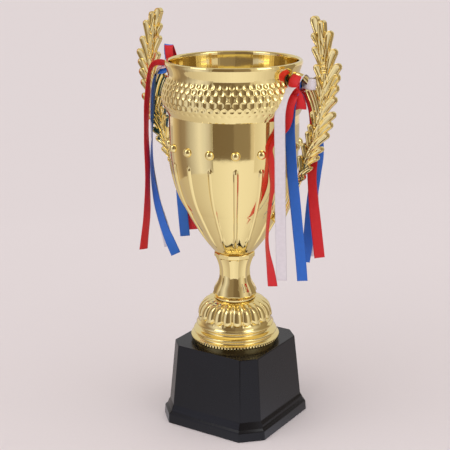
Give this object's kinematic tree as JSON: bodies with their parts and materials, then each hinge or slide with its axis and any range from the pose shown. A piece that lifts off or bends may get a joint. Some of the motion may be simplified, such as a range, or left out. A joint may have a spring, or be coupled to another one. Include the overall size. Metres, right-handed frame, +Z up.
{
  "type": "cup trophy",
  "caption": "Tall gilt trophy cup on a black square plinth, with leafy laurel handles at both sides, a beaded and ribbed bowl, a fluted stem and ribbons tied to the handles.",
  "frame": {"origin": "middle of the resting face under the plinth, on the cup's own axis", "axes": "+Z up along the cup's axis, +X through the right handle, -Y out of the plinth's front face"},
  "size_m": [0.2284, 0.1392, 0.4074],
  "materials": {
    "gilt": "vacuum-plated bright champagne gold on a moulding, mirror-like",
    "black_plastic": "moulded black ABS with a satin gloss",
    "cover_plastic": "moulded black plastic, fine texture",
    "felt": "pressed black felt, self-adhesive",
    "raw_steel": "sawn steel plate, oiled",
    "zinc_steel": "bright zinc-plated steel",
    "red_satin": "woven satin ribbon, red",
    "white_satin": "woven satin ribbon, white",
    "blue_satin": "woven satin ribbon, blue"
  },
  "bodies": {
    "root": {"base_felt": "felt", "base_cover": "cover_plastic", "cover_screws": "zinc_steel", "base_shell": "black_plastic", "weight_plate": "raw_steel", "lower_washer": "zinc_steel", "lower_nut": "zinc_steel", "tie_rod": "zinc_steel", "foot": "gilt", "neck_ring": "gilt", "stem": "gilt", "bowl": "gilt", "rim_band": "gilt", "upper_washer": "zinc_steel", "upper_nut": "zinc_steel", "handle_right": "gilt", "handle_left": "gilt", "handle_washers": "zinc_steel", "handle_screws": "zinc_steel", "ribbon_red_right": "red_satin", "ribbon_white_right": "white_satin", "ribbon_blue_right": "blue_satin", "ribbon_red_left": "red_satin", "ribbon_white_left": "white_satin", "ribbon_blue_left": "blue_satin"}
  },
  "joints": []
}
